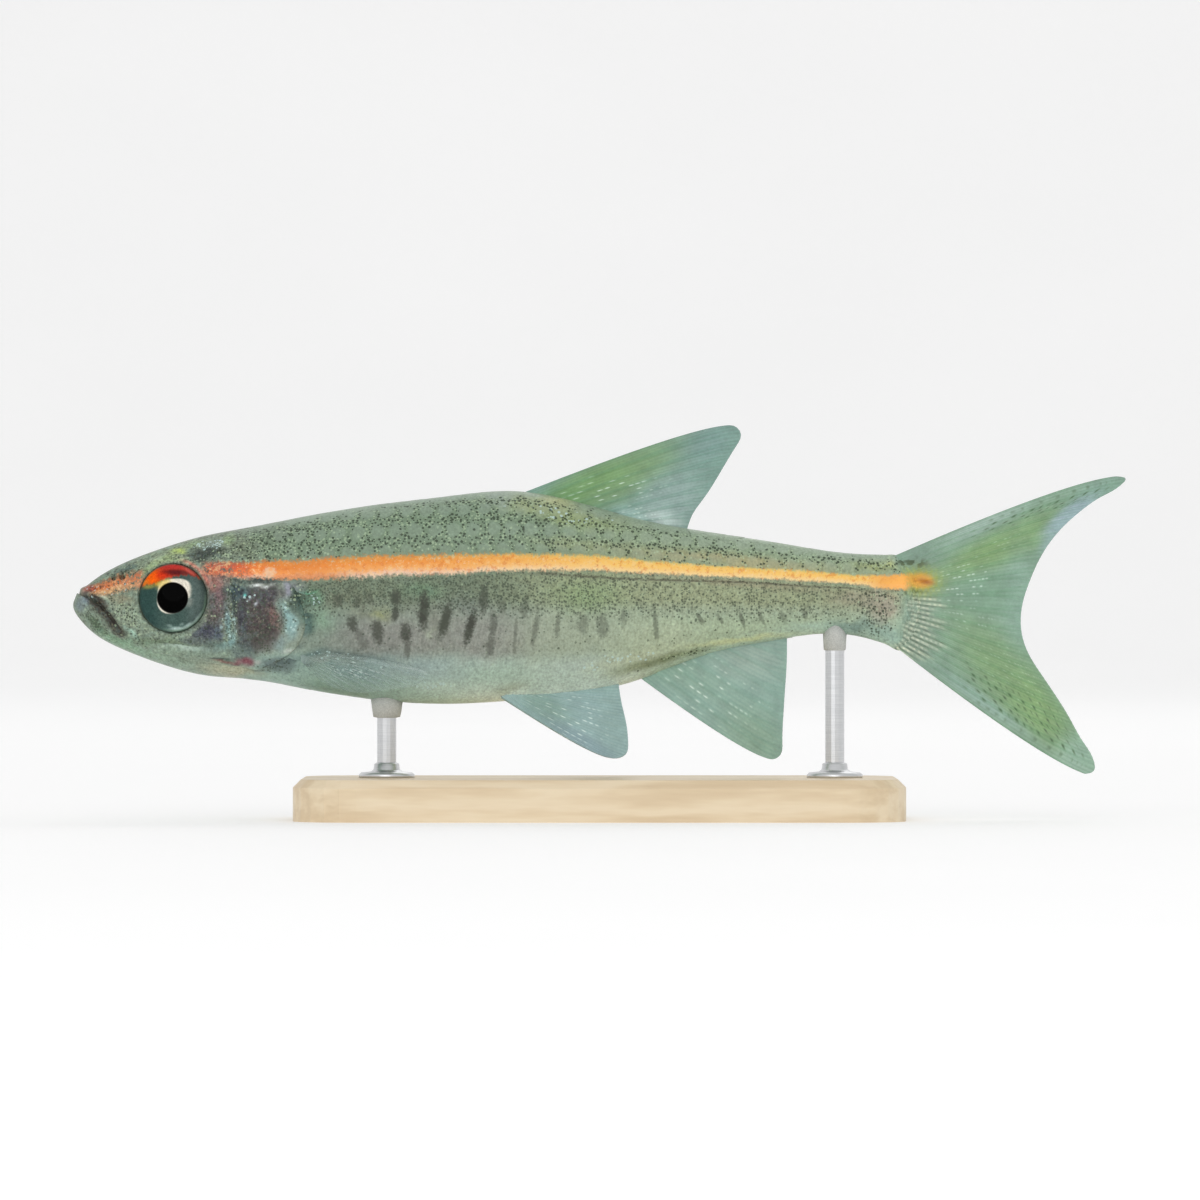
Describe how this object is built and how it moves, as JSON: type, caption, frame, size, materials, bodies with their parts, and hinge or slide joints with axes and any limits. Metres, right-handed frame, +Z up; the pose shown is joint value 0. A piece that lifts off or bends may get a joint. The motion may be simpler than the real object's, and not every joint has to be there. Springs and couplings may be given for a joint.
{
  "type": "red-striped rasbora fish model",
  "caption": "Life-size still model of a slender freshwater fish with a red stripe, spread fins and a forked tail, held on a flat display stand by upright rods.",
  "frame": {"origin": "on the surface that the stand rests on, under the middle of the model's length and breadth", "axes": "+X from the snout to the tail, +Y towards the fish's right side, +Z up"},
  "size_m": [0.0657, 0.019, 0.0246],
  "materials": {
    "skin": "wet gloss over fine scales, grey green with a red-orange stripe",
    "eye": "clear gloss over a black pupil and a blue-grey iris with a red upper edge",
    "fin": "thin, slightly see-through, blue green with paler rays",
    "stand_wood": "pale wood, satin varnish",
    "stand_rod": "fine brushed"
  },
  "bodies": {
    "root": {"head": "skin", "lower_jaw": "skin", "gill_cover_left": "skin", "gill_cover_right": "skin", "torso": "skin", "tail": "skin", "eye_left": "eye", "eye_right": "eye", "dorsal_fin": "fin", "anal_fin": "fin", "tail_fin_upper": "fin", "tail_fin_lower": "fin", "pelvic_fin_left": "fin", "pelvic_fin_right": "fin", "pectoral_fin_left": "fin", "pectoral_fin_right": "fin", "stand_base": "stand_wood", "stand_rod_front": "stand_rod", "stand_rod_rear": "stand_rod"}
  },
  "joints": []
}
